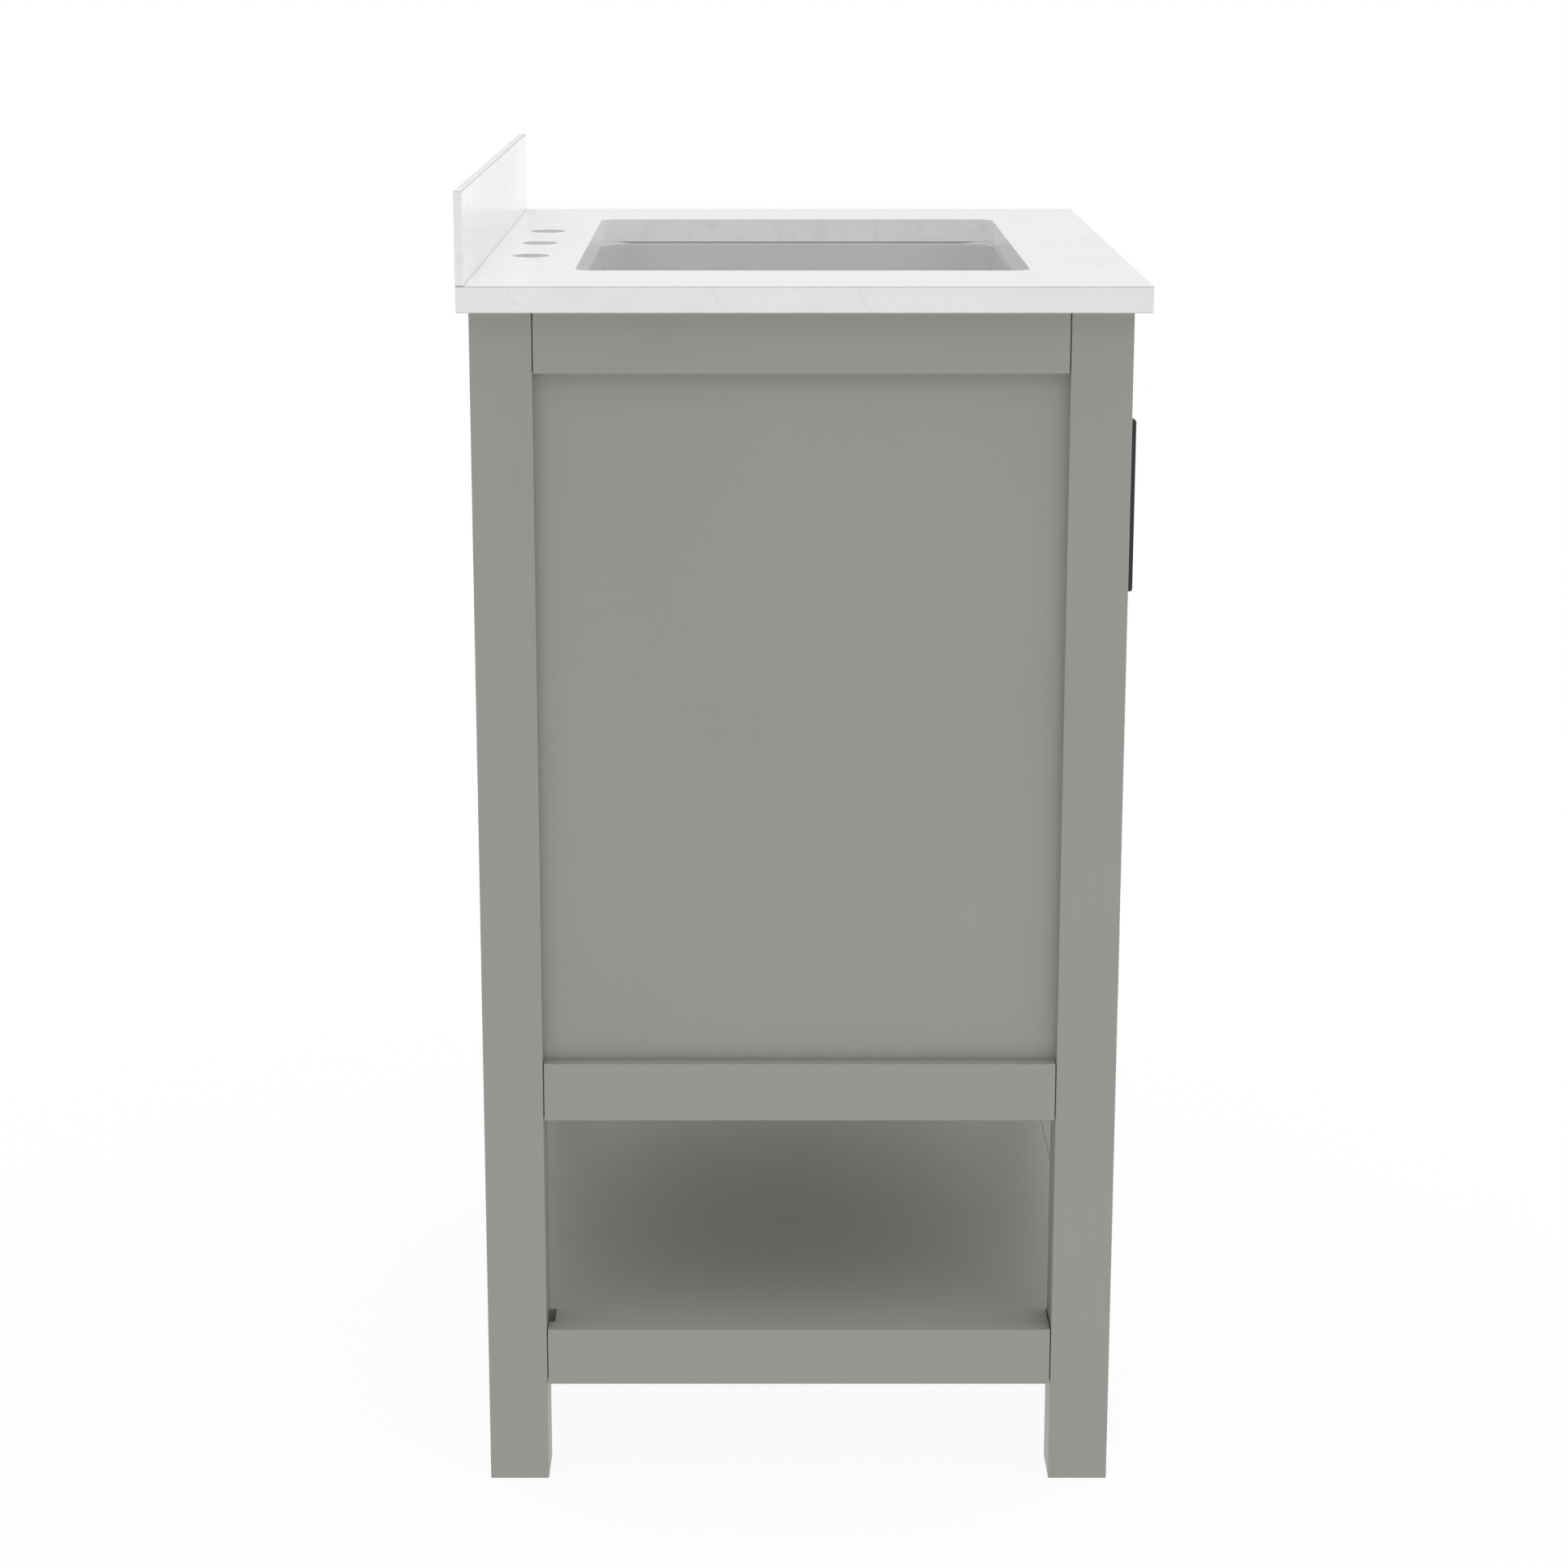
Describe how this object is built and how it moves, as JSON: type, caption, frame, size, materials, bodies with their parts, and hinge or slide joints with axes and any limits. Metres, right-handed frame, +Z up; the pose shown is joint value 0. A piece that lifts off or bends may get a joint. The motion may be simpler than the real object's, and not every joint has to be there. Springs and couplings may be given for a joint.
{
  "type": "bathroom vanity cabinet",
  "caption": "Freestanding bathroom vanity: square-legged painted cabinet with two inset shaker doors, open bottom shelf, stone counter with backsplash and undermounted basin.",
  "frame": {"origin": "on the floor, under the middle of the whole object's box", "axes": "+X across the width to the right as seen from the front, +Y from the doors towards the wall, +Z up"},
  "size_m": [0.635, 0.4996, 0.9539],
  "materials": {
    "grey_paint": "satin grey paint",
    "raw_wood": "unfinished poplar",
    "stone_top": "polished white engineered stone",
    "basin_ceramic": "white glaze",
    "dark_metal": "matte near-black powder coat",
    "hinge_steel": "matte near-black plating",
    "zinc_screws": "zinc plated",
    "catch_plastic": "moulded"
  },
  "bodies": {
    "cabinet": {"back_lower_rail": "grey_paint", "back_panel": "grey_paint", "back_shelf_rail": "grey_paint", "back_top_rail": "grey_paint", "backsplash": "stone_top", "bottom_shelf": "grey_paint", "corner_blocks": "raw_wood", "countertop": "stone_top", "cupboard_floor": "grey_paint", "floor_cleats": "raw_wood", "front_lower_rail": "grey_paint", "front_shelf_rail": "grey_paint", "front_top_rail": "grey_paint", "hinge_frame_leaves_left": "hinge_steel", "hinge_frame_leaves_right": "hinge_steel", "hinge_frame_screws_left": "zinc_screws", "hinge_frame_screws_right": "zinc_screws", "hinge_pins_left": "hinge_steel", "hinge_pins_right": "hinge_steel", "leg_back_left": "grey_paint", "leg_back_right": "grey_paint", "leg_front_left": "grey_paint", "leg_front_right": "grey_paint", "magnetic_catches": "catch_plastic", "shelf_cleats": "raw_wood", "side_lower_rail_left": "grey_paint", "side_lower_rail_right": "grey_paint", "side_panel_left": "grey_paint", "side_panel_right": "grey_paint", "side_shelf_rail_left": "grey_paint", "side_shelf_rail_right": "grey_paint", "side_top_rail_left": "grey_paint", "side_top_rail_right": "grey_paint", "sink_basin": "basin_ceramic", "sink_clip_screws": "zinc_screws", "sink_clips": "zinc_screws"},
    "door_left": {"door_left_bottom_rail": "grey_paint", "door_left_hinge_stile": "grey_paint", "door_left_meeting_stile": "grey_paint", "door_left_panel": "grey_paint", "door_left_top_rail": "grey_paint", "pull_left": "dark_metal", "pull_screws_left": "zinc_screws", "hinge_door_leaves_left": "hinge_steel", "hinge_door_screws_left": "zinc_screws", "catch_strike_left": "zinc_screws"},
    "door_right": {"door_right_bottom_rail": "grey_paint", "door_right_hinge_stile": "grey_paint", "door_right_meeting_stile": "grey_paint", "door_right_panel": "grey_paint", "door_right_top_rail": "grey_paint", "pull_right": "dark_metal", "pull_screws_right": "zinc_screws", "hinge_door_leaves_right": "hinge_steel", "hinge_door_screws_right": "zinc_screws", "catch_strike_right": "zinc_screws"}
  },
  "joints": [
    {"name": "door_left_hinge", "type": "hinge", "parent": "cabinet", "child": "door_left", "pos_m": [-0.2643, -0.219, 0.5765], "axis": [0, 0, -1], "range_deg": [0, 110]},
    {"name": "door_right_hinge", "type": "hinge", "parent": "cabinet", "child": "door_right", "pos_m": [0.2643, -0.219, 0.5765], "axis": [0, 0, 1], "range_deg": [0, 110]}
  ]
}
